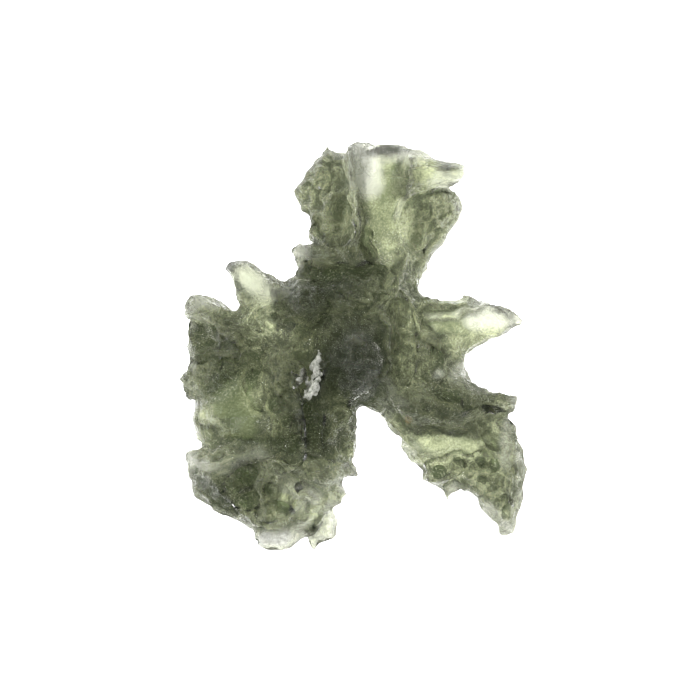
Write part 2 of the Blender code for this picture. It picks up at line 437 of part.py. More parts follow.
def layer_groove(place):
    """Grooves between the flow layers: 0 on the sharp edge of a layer and 1 between two edges."""
    drift = LAYER_DRIFT * noise.noise(place / LAYER_DRIFT_LENGTH)
    return abs(math.sin(math.pi * (place.z / LAYER_SPACING + drift)))


def etch(mesh):
    """Wears scoops into the whole surface, less on the calm faces, and grooves into the flanks."""
    points = read_vectors(mesh.vertices, "co")
    normals = read_vectors(mesh.vertex_normals, "vector")
    places = [Vector(point) for point in points]
    calm = np.ones(len(points))
    for radius, path in CALM:
        calm *= np.clip(plan_distance(points, path) / radius, CALM_LEAST, 1.0)
    wear = np.zeros(len(points))
    for grade, (width, depth) in enumerate(ETCHING):
        drift = Vector((grade * 7.3, grade * 3.1, grade * 5.7))
        wear += depth * calm * np.array([scoop(place + drift, width) for place in places])
    flank = 1.0 - np.abs(normals[:, 2])
    wear += LAYER_DEPTH * flank * np.array([layer_groove(place) for place in places])
    wear = np.minimum(wear, glass_under(mesh, points, -normals) * MOST_WEAR)
    worn_off = normals * wear[:, None]
    worn_off[:, :2] = worn_off[:, :2] * SIDEWAYS_WEAR - normals[:, :2] * RIM_GROWTH
    points -= worn_off
    mesh.vertices.foreach_set("co", points.ravel())
    mesh.update()


def drop_crumbs(bm):
    """Leaves the stone alone where the wear has cut a crumb off it."""
    left = set(bm.verts)
    pieces = []
    while left:
        piece = set()
        border = {left.pop()}
        while border:
            piece |= border
            border = {edge.other_vert(vert) for vert in border for edge in vert.link_edges} - piece
        left -= piece
        pieces.append(piece)
    pieces.sort(key=len)
    crumbs = [vert for piece in pieces[:-1] for vert in piece]
    bmesh.ops.delete(bm, geom=crumbs, context="VERTS")


def level_feet(bm):
    """Moves the points that are nearly at height zero onto it."""
    for vert in bm.verts:
        if abs(vert.co.z) < SHORTEST_EDGE:
            vert.co.z = 0.0


def rest_facets(mesh):
    """Cuts the worn flats that the stone rests on, at height zero."""
    bm = bmesh.new()
    bm.from_mesh(mesh)
    level_feet(bm)
    geometry = bm.verts[:] + bm.edges[:] + bm.faces[:]
    cut = bmesh.ops.bisect_plane(bm, geom=geometry, plane_co=(0, 0, 0), plane_no=(0, 0, -1),
                                 clear_outer=True)["geom_cut"]
    bmesh.ops.edgeloop_fill(bm, edges=[part for part in cut if isinstance(part, bmesh.types.BMEdge)])
    drop_crumbs(bm)
    bmesh.ops.dissolve_degenerate(bm, dist=SHORTEST_EDGE, edges=bm.edges)
    level_feet(bm)
    bmesh.ops.recalc_face_normals(bm, faces=bm.faces)
    bm.to_mesh(mesh)
    bm.free()


def scale_to_size(mesh):
    """Turns millimetres to metres and sets the measured length and width."""
    points = read_vectors(mesh.vertices, "co")
    low = points.min(axis=0)
    high = points.max(axis=0)
    spread = high - low
    middle = (low + high) / 2
    middle[2] = low[2]
    scale = np.array([STONE_WIDTH / spread[0], STONE_LENGTH / spread[1], 1.0]) * MM
    mesh.vertices.foreach_set("co", ((points - middle) * scale).ravel())
    mesh.update()


def green_glass():
    material = bpy.data.materials.new("green natural glass")
    material.use_nodes = True
    shader = material.node_tree.nodes["Principled BSDF"]
    shader.inputs["Base Color"].default_value = (0.22, 0.26, 0.11, 1.0)
    shader.inputs["Roughness"].default_value = 0.25
    shader.inputs["IOR"].default_value = 1.49
    shader.inputs["Metallic"].default_value = 0.0
    return material


def main():
    clear_scene()
    mesh = with_modifier(raw_stone(), "REMESH", mode="VOXEL", voxel_size=FUSE_VOXEL)
    warp(mesh)
    carve(mesh, 1, RIDGES, GULLIES)
    carve(mesh, -1, UNDER_RIDGES, UNDER_GULLIES)
    mesh = with_modifier(mesh, "REMESH", mode="VOXEL", voxel_size=EVEN_VOXEL)
    etch(mesh)
    mesh = with_modifier(mesh, "REMESH", mode="VOXEL", voxel_size=EVEN_VOXEL)
    mesh = with_modifier(mesh, "TRIANGULATE")
    mesh = with_modifier(mesh, "DECIMATE", ratio=MOST_TRIANGLES / len(mesh.polygons))
    rest_facets(mesh)
    scale_to_size(mesh)
    mesh.name = "moldavite"
    mesh.materials.append(green_glass())
    stone = bpy.data.objects.new("moldavite", mesh)
    collection = bpy.data.collections.new("moldavite")
    bpy.context.scene.collection.children.link(collection)
    collection.objects.link(stone)


main()
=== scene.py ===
import bmesh
import bpy
import numpy as np
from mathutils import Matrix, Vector, noise
from mathutils.bvhtree import BVHTree


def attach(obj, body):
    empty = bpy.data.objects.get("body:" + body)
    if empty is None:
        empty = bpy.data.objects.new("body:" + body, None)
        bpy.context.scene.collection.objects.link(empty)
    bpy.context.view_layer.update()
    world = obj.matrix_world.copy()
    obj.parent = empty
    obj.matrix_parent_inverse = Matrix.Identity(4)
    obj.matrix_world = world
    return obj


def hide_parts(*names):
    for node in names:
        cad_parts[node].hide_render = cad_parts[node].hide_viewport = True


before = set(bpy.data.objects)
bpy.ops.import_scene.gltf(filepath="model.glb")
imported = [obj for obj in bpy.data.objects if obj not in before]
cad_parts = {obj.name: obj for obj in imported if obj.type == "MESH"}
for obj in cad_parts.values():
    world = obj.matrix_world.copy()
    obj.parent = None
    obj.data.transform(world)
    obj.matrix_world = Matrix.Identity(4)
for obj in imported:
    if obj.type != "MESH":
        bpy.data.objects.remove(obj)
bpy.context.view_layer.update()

# The stone's body
# A moldavite is one piece of natural glass: rock melted by an impact, frozen in flight, and then
# etched by ground water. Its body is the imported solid, divided finely enough to take that etching.
MM = 0.001
MERGE_DISTANCE = 0.01
SMOOTHINGS = (0.45, 0.25)
bm = bmesh.new()
bm.from_mesh(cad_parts["moldavite"].data)
bmesh.ops.remove_doubles(bm, verts=bm.verts, dist=MERGE_DISTANCE * MM)
bmesh.ops.triangulate(bm, faces=bm.faces)
for smoothing in SMOOTHINGS:
    bmesh.ops.subdivide_edges(bm, edges=bm.edges, cuts=1, use_grid_fill=True)
    bmesh.ops.smooth_vert(bm, verts=bm.verts, factor=smoothing,
                          use_axis_x=True, use_axis_y=True, use_axis_z=True)
bmesh.ops.triangulate(bm, faces=bm.faces)
bmesh.ops.recalc_face_normals(bm, faces=bm.faces)
bm.normal_update()
glass_tree = BVHTree.FromBMesh(bm)
stone_mesh = bpy.data.meshes.new("moldavite_glass")
bm.to_mesh(stone_mesh)
bm.free()
stone = bpy.data.objects.new("moldavite_glass", stone_mesh)
bpy.context.scene.collection.objects.link(stone)

# The scoops and the flow layers
# Ground water ate the glass away from outside, in scoops that meet in sharp crests and in grooves
# between the layers of the melt. Some faces broke off later, and are still smooth.
# Here and below, lengths are millimetres and lines are as seen from above.
SCOOPS = ((1.3, 0.24), (0.65, 0.12), (0.32, 0.05))
SCOOP_STEEPNESS = 1.4
SCOOP_SHIFT = (11.3, 4.7, 8.9)
LAYER_SPACING = 0.42
LAYER_DEPTH = 0.1
LAYER_WAVE = 1.6
LAYER_WAVE_LENGTH = 2.5
SMOOTHEST = 0.2
SMOOTH_FACES = (
    (2.4, ((2.0, 13.6), (2.0, 7.0))),
    (1.9, ((5.6, 1.4), (11.4, 1.9))),
    (1.8, ((4.8, -6.2), (9.2, -7.2))),
    (2.2, ((-10.0, -4.6), (-7.6, -3.6), (-7.2, -5.6))),
    (1.3, ((-8.4, 5.2), (-5.6, 3.6))),
    (1.2, ((-4.4, -10.4), (-2.6, -11.6))),
    (1.4, ((4.6, 11.6), (7.4, 12.0))),
    (0.8, ((-5.8, 1.5), (-4.8, 1.0))),
)
WANDER = 0.25
WANDER_LENGTH = 0.9
WANDER_SEED = 1
points = np.array([vert.co for vert in stone_mesh.vertices]) / MM
normals = np.array([normal.vector for normal in stone_mesh.vertex_normals])
places = [Vector(point) for point in points]
noise.seed_set(WANDER_SEED)
wandering = np.array([noise.noise_vector(place / WANDER_LENGTH)[:2] for place in places])
plan = points[:, :2] + wandering * WANDER


def beside(line, spots):
    """Each spot's distance from a line, its side (1 right, -1 left), and the line's last value there."""
    nearest = np.full(len(points), np.inf)
    side = np.zeros(len(points))
    width = np.zeros(len(points))
    for line_start, line_end in zip(line, line[1:]):
        step = np.subtract(line_end, line_start)
        offset = spots - line_start[:2]
        share = np.clip(offset @ step[:2] / (step[:2] @ step[:2]), 0.0, 1.0)
        distance = np.linalg.norm(offset - share[:, None] * step[:2], axis=1)
        closer = distance < nearest
        side[closer] = np.sign(offset[:, 0] * step[1] - offset[:, 1] * step[0])[closer]
        width[closer] = (line_start[-1] + share * step[-1])[closer]
        nearest[closer] = distance[closer]
    return nearest, side, width


def away_from(line):
    return beside(line, plan)[0]


etched = np.ones(len(points))
for reach, line in SMOOTH_FACES:
    etched *= np.clip(away_from(line) / reach, SMOOTHEST, 1.0)
wear = np.zeros(len(points))
for grade, (width, depth) in enumerate(SCOOPS):
    drift = Vector([grade * shift for shift in SCOOP_SHIFT])
    for index, place in enumerate(places):
        nearest, second = noise.voronoi((place + drift) / width)[0][:2]
        wear[index] += etched[index] * depth * min((second - nearest) * SCOOP_STEEPNESS, 1.0)
flank = 1.0 - np.abs(normals[:, 2])
waves = np.array([LAYER_WAVE * noise.noise(place / LAYER_WAVE_LENGTH) for place in places])
wear += LAYER_DEPTH * flank * np.abs(np.sin(np.pi * (points[:, 2] / LAYER_SPACING + waves)))

# The ledges, creases and pits
# Layers of the melt end in ledges, and the water cut creases and pits along flaws, but never through
# a fin. A ledge is (depth, reach, line) and drops on the right of its line, a crease is (depth, half
# width, line), and a pit is (depth, radius, spot).
MOST_WEAR = 0.35
JUST_INSIDE = 0.01
UPWARD_BLEND = 3.0
PIT_SHAPE = 1.2
LEDGES = (
    (0.5, 0.9, ((-4.6, 6.2), (-3.6, 6.0), (-2.9, 5.4), (-2.1, 5.0), (-1.2, 5.3), (-0.5, 5.6), (0.4, 5.2),
                (1.2, 5.7), (1.8, 5.2), (2.6, 5.6))),
    (0.25, 0.5, ((-2.4, 13.0), (-1.0, 12.6), (-0.5, 11.4), (-0.3, 9.6), (0.0, 7.8))),
    (0.4, 0.6, ((4.3, 13.4), (4.0, 12.2), (3.7, 10.9), (3.5, 9.9), (3.0, 8.8))),
    (0.5, 0.6, ((7.6, 10.8), (6.9, 10.6), (6.0, 10.3), (4.9, 9.9), (4.0, 9.4))),
    (0.35, 0.5, ((7.2, 9.0), (6.4, 8.7), (5.6, 8.2), (5.2, 7.2))),
    (0.3, 0.5, ((6.6, 8.2), (6.0, 7.6), (5.4, 6.8), (5.0, 6.0))),
    (0.5, 0.7, ((-5.2, 3.4), (-5.1, 2.3), (-4.3, 1.5), (-3.2, 1.3), (-2.3, 1.8), (-1.8, 2.8), (-2.1, 3.8))),
    (0.35, 0.6, ((-0.9, 4.2), (-0.2, 3.3), (0.9, 2.9), (1.9, 3.3))),
    (0.45, 0.6, ((-9.9, 1.8), (-9.2, 1.0), (-8.6, 0.3), (-7.6, 0.05), (-6.7, -0.4), (-6.2, -1.4))),
    (0.4, 0.6, ((-11.6, -0.6), (-10.6, -0.9), (-9.6, -0.6), (-9.0, -1.2), (-8.2, -1.0))),
    (0.45, 0.6, ((-6.1, -0.4), (-6.6, -1.4), (-6.8, -2.6), (-6.5, -3.8), (-5.8, -4.6))),
    (0.4, 0.6, ((1.4, 2.2), (2.3, 1.4), (2.0, 0.2), (2.6, -0.9), (2.2, -2.2), (2.6, -3.4))),
    (0.45, 0.7, ((4.2, 2.0), (4.8, 0.9), (5.5, 0.0), (5.9, -0.9), (6.2, -2.2))),
    (0.4, 0.6, ((10.2, 2.6), (8.8, 2.75), (7.6, 2.6), (6.8, 2.2), (5.4, 2.0), (4.4, 2.1))),
    (0.6, 0.7, ((11.2, -4.7), (10.1, -4.9), (9.4, -4.65), (8.6, -4.35), (7.6, -4.4), (6.7, -3.7),
                (5.6, -3.4))),
    (0.35, 0.5, ((10.2, -3.2), (9.0, -3.3), (8.0, -3.0), (7.0, -2.3))),
    (0.4, 0.6, ((9.6, -7.4), (8.4, -7.5), (7.0, -7.4), (5.6, -7.9), (4.9, -8.6))),
    (0.35, 0.4, ((10.9, -4.9), (10.8, -6.4), (10.5, -8.0), (10.6, -9.6), (10.9, -11.6))),
    (0.6, 0.8, ((-4.6, -7.0), (-6.0, -7.5), (-7.2, -7.8), (-8.2, -8.2), (-9.2, -8.6), (-10.6, -8.8))),
    (0.4, 0.6, ((-3.4, -6.8), (-5.0, -6.5), (-6.6, -6.6), (-8.6, -6.5), (-10.4, -6.8))),
    (0.5, 0.7, ((0.8, -8.9), (-0.4, -8.0), (-1.6, -7.6), (-3.2, -7.6), (-4.4, -8.2))),
    (0.5, 0.7, ((-2.2, -10.6), (-3.2, -10.0), (-4.2, -9.5), (-5.2, -9.2))),
    (0.4, 0.6, ((-6.4, -12.6), (-6.3, -11.4), (-6.9, -10.2), (-7.0, -9.2))),
    (0.4, 0.7, ((-5.0, -7.2), (-3.9, -6.4), (-4.1, -5.3), (-3.3, -4.6), (-3.8, -3.6))),
    (0.4, 0.6, ((-2.4, -3.9), (-1.2, -3.7), (-0.2, -4.0), (0.8, -3.6))),
)
CREASES = (
    (0.5, 0.28, ((0.7, 7.8), (0.85, 6.8), (1.1, 6.0))),
    (0.3, 0.25, ((5.2, 9.9), (5.2, 9.0), (5.0, 8.4))),
    (0.4, 0.25, ((2.8, 5.8), (2.75, 4.0))),
    (0.3, 0.25, ((2.0, 5.6), (1.9, 3.8))),
    (0.5, 0.25, ((-6.7, -1.2), (-6.8, -2.4), (-6.6, -3.6))),
    (0.5, 0.28, ((4.6, 1.1), (5.4, 0.2), (5.8, -0.7), (5.7, -1.8))),
    (0.3, 0.25, ((11.1, -5.3), (11.3, -6.2), (11.4, -7.2))),
    (0.3, 0.2, ((11.0, -8.0), (11.1, -9.6), (11.0, -11.0))),
    (0.3, 0.2, ((10.0, -8.6), (10.1, -10.0), (10.3, -11.8))),
    (0.55, 0.5, ((-3.0, -3.8), (-2.7, -5.2), (-3.0, -6.9))),
    (0.5, 0.4, ((-2.0, -4.2), (-1.7, -5.6), (-2.0, -7.0))),
    (0.35, 0.25, ((-9.4, -10.2), (-8.4, -11.0), (-7.4, -11.6))),
    (0.3, 0.2, ((-10.4, -9.9), (-9.2, -11.0), (-8.0, -11.5))),
    (0.35, 0.25, ((-3.6, 8.6), (-2.6, 8.0), (-1.8, 7.4))),
    (0.3, 0.25, ((-3.4, 11.4), (-2.6, 10.4), (-2.4, 9.2))),
    (0.3, 0.25, ((-1.6, 12.8), (-1.5, 11.4), (-1.9, 10.2))),
    (0.3, 0.25, ((3.4, 3.4), (4.0, 2.2), (3.8, 0.8), (4.2, -0.8))),
    (0.35, 0.25, ((-9.6, -1.2), (-8.4, -1.0), (-7.6, -1.4))),
)
PITS = (
    (0.7, 0.45, (5.8, -8.5)), (0.5, 0.3, (7.1, -7.8)), (0.6, 0.4, (8.7, -8.0)), (0.6, 0.4, (9.5, -8.1)),
    (0.5, 0.35, (8.9, -8.9)), (0.4, 0.25, (8.2, -8.7)), (0.5, 0.3, (6.9, -9.5)), (0.5, 0.35, (10.4, -11.0)),
    (0.7, 0.6, (-7.5, -8.9)), (0.5, 0.4, (-8.6, -9.7)), (0.6, 0.4, (-7.3, -10.4)), (0.7, 0.6, (-5.7, -9.9)),
    (0.6, 0.5, (-4.9, -10.9)), (0.5, 0.35, (-5.4, -3.9)), (0.5, 0.4, (-4.6, -5.1)), (0.5, 0.35, (-4.3, -6.2)),
    (0.4, 0.3, (-4.9, -6.9)), (0.4, 0.25, (-5.6, 1.9)), (0.4, 0.3, (-10.0, 0.2)), (0.5, 0.4, (-2.7, -12.4)),
    (0.4, 0.3, (5.9, 7.9)), (0.3, 0.2, (6.5, 9.4)), (0.3, 0.2, (-2.4, 3.9)), (0.3, 0.25, (0.9, 2.6)),
)


def glass_along(directions):
    """How much glass lies below each point along its own direction, in millimetres."""
    hits = []
    for point, direction in zip(points, directions):
        start = Vector(point + direction * JUST_INSIDE) * MM
        hits.append(glass_tree.ray_cast(start, Vector(direction))[3] or 0.0)
    return np.array(hits) / MM


def from_spot(spot):
    return np.linalg.norm(plan - spot, axis=1)


def fade(line, length):
    """Nothing at a line's two ends, rising to the whole at this length away from them."""
    return np.clip(np.minimum(from_spot(line[0]), from_spot(line[-1])) / length, 0.0, 1.0)


facing_up = np.clip(normals[:, 2] * UPWARD_BLEND, 0.0, 1.0)
hollow = np.zeros(len(points))
for depth, half_width, line in CREASES:
    across = np.clip(1.0 - away_from(line) / half_width, 0.0, 1.0)
    hollow += depth * fade(line, 2.0 * half_width) * facing_up * across
for depth, reach, line in LEDGES:
    distance, side = beside(line, plan)[:2]
    drop = (side > 0) * np.clip(1.0 - distance / reach, 0.0, 1.0)
    hollow += depth * fade(line, reach) * facing_up * drop
for depth, radius, spot in PITS:
    hollow += depth * facing_up * np.clip(PIT_SHAPE - PIT_SHAPE * (from_spot(spot) / radius) ** 2, 0.0, 1.0)
wear = np.minimum(wear + hollow, glass_along(-normals) * MOST_WEAR)

# The crests
# Thin rims that the water left standing between two hollows: (height, half width, line).
CRESTS = (
    (0.3, 0.3, ((-11.7, 2.3), (-11.0, 2.1), (-10.2, 2.0), (-9.6, 1.6))),
    (0.2, 0.3, ((4.5, 1.9), (7.0, 2.1), (7.6, 2.6), (9.6, 2.7), (11.0, 2.3))),
    (0.3, 0.25, ((6.9, -2.2), (8.0, -2.8), (8.8, -3.2))),
    (0.25, 0.2, ((10.6, -5.0), (10.5, -6.5), (10.3, -8.0), (10.6, -9.8), (10.8, -12.0))),
    (0.2, 0.2, ((10.9, -5.6), (11.0, -7.4), (11.3, -9.0))),
    (0.3, 0.25, ((2.2, -2.2), (2.5, -3.2), (2.7, -3.9), (3.6, -3.9))),
    (0.3, 0.25, ((-10.4, -8.8), (-9.0, -8.6), (-8.0, -8.1), (-7.0, -7.8), (-6.0, -7.6))),
    (0.3, 0.25, ((-5.0, -9.3), (-3.6, -9.9), (-2.5, -10.5))),
    (0.25, 0.25, ((5.4, 9.3), (5.9, 8.5), (6.5, 7.7))),
    (0.25, 0.25, ((3.6, 13.2), (4.0, 11.8), (3.7, 10.5), (3.4, 9.8), (2.8, 8.6))),
    (0.3, 0.22, ((-0.3, 13.6), (-0.1, 12.4), (0.0, 11.2), (0.2, 9.8), (0.35, 8.2))),
    (0.2, 0.2, ((-3.4, -6.9), (-2.2, -7.4), (-1.0, -7.7), (0.4, -8.7))),
    (0.2, 0.2, ((-6.4, -12.4), (-6.0, -11.2), (-6.6, -9.9), (-6.5, -8.6))),
)
crest = np.zeros(len(points))
for height, half_width, line in CRESTS:
    across = np.clip(1.0 - away_from(line) / half_width, 0.0, 1.0)
    crest = np.maximum(crest, height * fade(line, 2.0 * half_width) * facing_up * across)

# The silvery flake's shape
# A curled sliver that stands up from the middle of the stone, where its skin has lifted. It is drawn
# as ragged strokes of (x, y, half width), and raised from the stone's own surface.
FLAKE_HEIGHT = 0.35
FLAKE_EDGE = 0.15
FLAKE_RAGGEDNESS = 0.12
FLAKE_TEETH_PER_MM = 3.0
FLAKE = (
    ((-2.2, 0.1, 0.1), (-2.25, -0.7, 0.25), (-2.4, -1.3, 0.5), (-2.3, -1.9, 0.38), (-2.45, -2.4, 0.32),
     (-2.7, -2.85, 0.5), (-3.0, -3.3, 0.35), (-3.6, -3.6, 0.1)),
    ((-3.75, -1.0, 0.05), (-3.6, -1.5, 0.22), (-3.55, -1.9, 0.38), (-3.7, -2.2, 0.28), (-3.75, -2.6, 0.14),
     (-3.9, -3.1, 0.05)),
    ((-3.4, -1.8, 0.25), (-3.0, -2.1, 0.2), (-2.95, -2.7, 0.3)),
)
ragged = np.array([noise.noise(place * FLAKE_TEETH_PER_MM) for place in places]) * FLAKE_RAGGEDNESS
flake = np.zeros(len(points))
for stroke in FLAKE:
    distance, _, half_width = beside(stroke, points[:, :2])
    flake = np.maximum(flake, facing_up * np.clip((half_width + ragged - distance) / FLAKE_EDGE, 0.0, 1.0))

# The finished surface
# The glass is moved once, by all the wear and all that stands proud. The material reads how far each
# point stands out of the glass around it, from 0 in a crease to 1 on a crest, at two sizes, and paints
# the creases darker by it as painted shade.
RELIEFS = (("fine_relief", 5, 0.05), ("broad_relief", 40, 0.3))
upright_glass = glass_along(-np.sign(normals[:, 2])[:, None] * (0.0, 0.0, 1.0))
points += normals * (crest - wear * (1.0 - flake) + FLAKE_HEIGHT * flake)[:, None]
stone_mesh.vertices.foreach_set("co", (points * MM).ravel())
stone_mesh.update()
stone_mesh.shade_smooth()
ends = np.empty(len(stone_mesh.edges) * 2, dtype=np.int64)
stone_mesh.edges.foreach_get("vertices", ends)
ends = ends.reshape(-1, 2)
neighbours = np.bincount(ends.ravel(), minlength=len(points))[:, None]
normals = np.array([normal.vector for normal in stone_mesh.vertex_normals])


def keep_for_material(name, values):
    stone_mesh.attributes.new(name, "FLOAT", "POINT").data.foreach_set("value", values)


for name, rounds, reach in RELIEFS:
    smoothed = points.copy()
    for _ in range(rounds):
        total = np.zeros_like(smoothed)
        np.add.at(total, ends[:, 0], smoothed[ends[:, 1]])
        np.add.at(total, ends[:, 1], smoothed[ends[:, 0]])
        smoothed = (smoothed + total / neighbours) / 2
    stands_out = ((points - smoothed) * normals).sum(axis=1)
    keep_for_material(name, np.clip(0.5 + stands_out / reach / 2, 0.0, 1.0))

# Painted shade, painted highlights, frost and rust
# The hollows and the shade zones are painted darker as painted shade, so less light comes through them, and
# the thickest glass is painted darker too. Thin edges, crests and the pale zones are painted white, partly as
# frost and partly as painted highlights and the light that shines through thin glass, and a little rust
# has soaked in beside the south notch. A zone is (amount, reach, line). A shade zone below nought is
# painted lighter than the rest, as painted light.
HOLLOW_SHADE = 1.9
SHADED_DEPTH = 0.7
THICK_SHADE = 0.6
THICK_FROM = 4.5
THICK_SPAN = 2.5
ZONE_SLOPE = 1.5
CREST_HIGHLIGHT = 0.35
FULL_CREST = 0.3
HIGHLIGHT_PATCH = 0.7
HIGHLIGHT_CONTRAST = 1.5
THIN = 1.3
THIN_PAINTED_LIGHT = 0.5
RUST_SPOT = (3.7, -5.1)
RUST_RADIUS = 0.35
RUST_SLOPE = 1.6
RUST_AMOUNT = 0.6
PAINTED_LIGHT_AND_SHADE_ZONES = (
    (0.25, 1.0, ((5.5, 1.3), (7.5, 1.2))),
    (0.4, 1.4, ((-8.0, 5.0), (-6.2, 4.0))),
    (0.4, 1.0, ((6.0, 11.6), (8.2, 12.2))),
    (0.6, 1.3, ((-2.4, 4.7), (-1.0, 4.4), (0.6, 4.8))),
    (0.5, 1.7, ((-3.9, 3.1), (-2.8, 2.9))),
    (0.42, 1.5, ((2.6, 12.4), (2.0, 8.0))),
    (0.5, 1.9, ((-1.4, -1.8), (0.6, -2.4), (1.2, -3.2))),
    (0.5, 1.4, ((-2.9, -4.2), (-2.6, -5.8), (-2.2, -7.0))),
    (0.35, 1.0, ((-5.0, -4.0), (-4.4, -5.6), (-4.6, -7.0))),
    (0.4, 0.9, ((-10.6, 0.9), (-10.2, -0.4))),
    (0.3, 0.9, ((-9.2, 0.4), (-8.2, -0.6), (-7.0, -1.0))),
    (0.6, 0.8, ((-10.2, -9.3), (-9.4, -10.4), (-8.4, -11.0))),
    (0.35, 0.7, ((-2.5, -12.2), (-2.8, -12.9))),
    (0.35, 0.9, ((5.6, -2.6), (7.6, -3.7), (8.8, -3.9))),
    (0.25, 1.2, ((1.0, 7.4), (1.1, 6.0))),
    (0.75, 2.1, ((-8.8, -2.6), (-8.4, -4.4), (-7.4, -5.4))),
    (0.25, 0.9, ((5.6, 3.0), (7.2, 3.1), (9.2, 3.1))),
    (0.3, 0.8, ((3.0, -3.6), (4.4, -4.8))),
    (0.7, 0.9, ((-7.8, -8.8), (-7.0, -8.9))),
    (0.6, 0.7, ((-8.8, -9.6), (-8.2, -9.8))),
    (0.6, 0.7, ((-7.5, -10.5), (-7.0, -10.4))),
    (0.4, 1.0, ((-6.0, -9.6), (-4.8, -10.4), (-3.9, -10.9))),
    (0.6, 0.5, ((-5.6, -6.5), (-4.4, -6.8), (-3.4, -7.3))),
    (-0.3, 0.7, ((-10.0, -8.6), (-8.4, -8.1), (-6.6, -7.5), (-5.0, -7.2))),
    (-0.25, 0.8, ((-5.0, -9.3), (-3.6, -9.9), (-2.5, -10.5))),
    (-0.2, 0.8, ((-6.6, -9.3), (-6.2, -11.2))),
    (-0.2, 1.3, ((9.4, -9.4), (10.4, -10.8))),
    (-0.2, 1.3, ((-2.4, 10.6), (-1.8, 8.6))),
    (-0.15, 1.6, ((3.4, 2.4), (3.2, -1.6))),
    (-0.1, 1.3, ((6.6, 9.6), (5.4, 7.6))),
    (0.3, 1.6, ((4.8, -6.4), (6.8, -6.6), (9.0, -7.0))),
)
FROST_AND_HIGHLIGHT_ZONES = (
    (0.75, 1.3, ((0.9, 14.0), (0.9, 12.4), (0.9, 11.2))),
    (0.5, 1.1, ((0.4, 13.7), (2.0, 13.5), (3.4, 13.4), (4.2, 13.3))),
    (0.4, 0.5, ((3.4, 13.7), (4.2, 13.5), (5.6, 12.9))),
    (0.3, 0.8, ((5.8, 11.4), (7.0, 11.3), (8.0, 11.9))),
    (0.5, 1.2, ((8.4, 2.1), (9.4, 2.2), (11.6, 1.8))),
    (0.3, 1.2, ((-8.6, 5.4), (-7.4, 4.8), (-5.9, 3.8))),
    (0.4, 0.6, ((-11.6, 2.4), (-10.4, 3.2), (-9.4, 2.9))),
    (0.5, 0.6, ((-4.6, 6.5), (-3.4, 6.5))),
    (0.9, 0.7, ((-6.2, -13.2), (-4.6, -13.0))),
    (0.6, 0.5, ((-11.6, -7.4), (-10.6, -8.0), (-9.4, -8.2))),
    (0.5, 0.6, ((-1.4, -11.0), (-1.3, -12.8))),
    (0.5, 0.5, ((6.9, -1.9), (7.5, -1.3))),
    (0.5, 0.5, ((9.2, -10.9), (9.9, -11.9), (10.8, -12.6))),
    (0.4, 0.6, ((11.6, -7.2), (11.9, -9.0), (11.7, -10.6))),
    (0.4, 0.7, ((10.8, -3.4), (11.3, -3.8))),
    (0.3, 0.5, ((0.0, 0.6), (0.5, 0.5))),
    (0.3, 0.7, ((-10.0, -8.4), (-9.0, -8.2), (-8.0, -7.8), (-6.4, -7.3))),
    (0.3, 0.6, ((-4.9, -9.2), (-3.6, -9.8), (-2.5, -10.3))),
    (0.3, 0.6, ((10.6, -5.2), (10.5, -6.5), (10.2, -8.0))),
    (0.3, 0.5, ((6.9, -2.2), (8.0, -2.6), (8.8, -3.0))),
    (0.3, 0.4, ((2.4, -2.4), (2.6, -3.6), (3.4, -3.8))),
)


def zone(line, reach):
    """A soft zone along a line: whole near it, and gone at its reach."""
    return np.clip(ZONE_SLOPE - ZONE_SLOPE * away_from(line) / reach, 0.0, 1.0)


# Painted shade: the hollows, the thickest glass and the shade zones take light out of the skin's colour.
unshaded = 1.0 - HOLLOW_SHADE * np.clip(hollow, 0.0, SHADED_DEPTH) ** 2
unshaded *= 1.0 - THICK_SHADE * np.clip((upright_glass - THICK_FROM) / THICK_SPAN, 0.0, 1.0)
for amount, reach, line in PAINTED_LIGHT_AND_SHADE_ZONES:
    unshaded *= 1.0 - amount * facing_up * zone(line, reach)
# Painted highlights: crests, the pale zones and thin edges are whitened, partly as frost.
broken = np.array([noise.noise(place / HIGHLIGHT_PATCH) for place in places]) * HIGHLIGHT_CONTRAST
broken = np.clip(0.5 + broken, 0.0, 1.0)
frost_and_highlight = np.clip(crest / FULL_CREST, 0.0, CREST_HIGHLIGHT) * broken
for amount, reach, line in FROST_AND_HIGHLIGHT_ZONES:
    frost_and_highlight = np.maximum(frost_and_highlight, amount * zone(line, reach))
frost_and_highlight = np.maximum(frost_and_highlight, THIN_PAINTED_LIGHT * unshaded ** 2 * np.clip(1.0 - upright_glass / THIN, 0.0, 1.0))
rust = facing_up * np.clip(RUST_SLOPE - RUST_SLOPE * from_spot(RUST_SPOT) / RUST_RADIUS, 0.0, RUST_AMOUNT)
keep_for_material("etched", etched)
# Light crossing the skin takes only the square root of its colour, so this share is squared.
keep_for_material("unshaded", unshaded ** 2)
keep_for_material("frost_and_highlight", frost_and_highlight)
keep_for_material("rust", rust)

# The glass
# Natural silica-rich glass, bottle green and see-through: thin parts glow pale and the core goes dark.
# Its skin is etched rather than polished, which gives the eye a fine dark and pale grain. The grain
# and specks are drawn coarser than the real etching, so that they show.
GRAIN = 0.3
SPECKS = 0.13
GLOSS_PATCHES = 2.5
CRACK_SPACING = 1.1
CRACK_BEND = 1.2
CRACK_WIDTH = 0.07
CRACK_DEPTH = 0.4
GRAIN_HEIGHT = 1.5
STREAK_WIDTH = 0.3
STREAK_STRETCH = (1.0, 0.08, 1.0)
GLASS_IOR = 1.49
GLASS_DENSITY = 450.0
BUMP_DEPTH = 0.15
MIX_FIRST = 6
MIX_SECOND = 7
MIX_RESULT = 2


def linear(hex_colour):
    """An sRGB hex colour as linear RGBA."""
    channels = [int(hex_colour[i:i + 2], 16) / 255 for i in (0, 2, 4)]
    return [c / 12.92 if c <= 0.04045 else ((c + 0.055) / 1.055) ** 2.4 for c in channels] + [1.0]


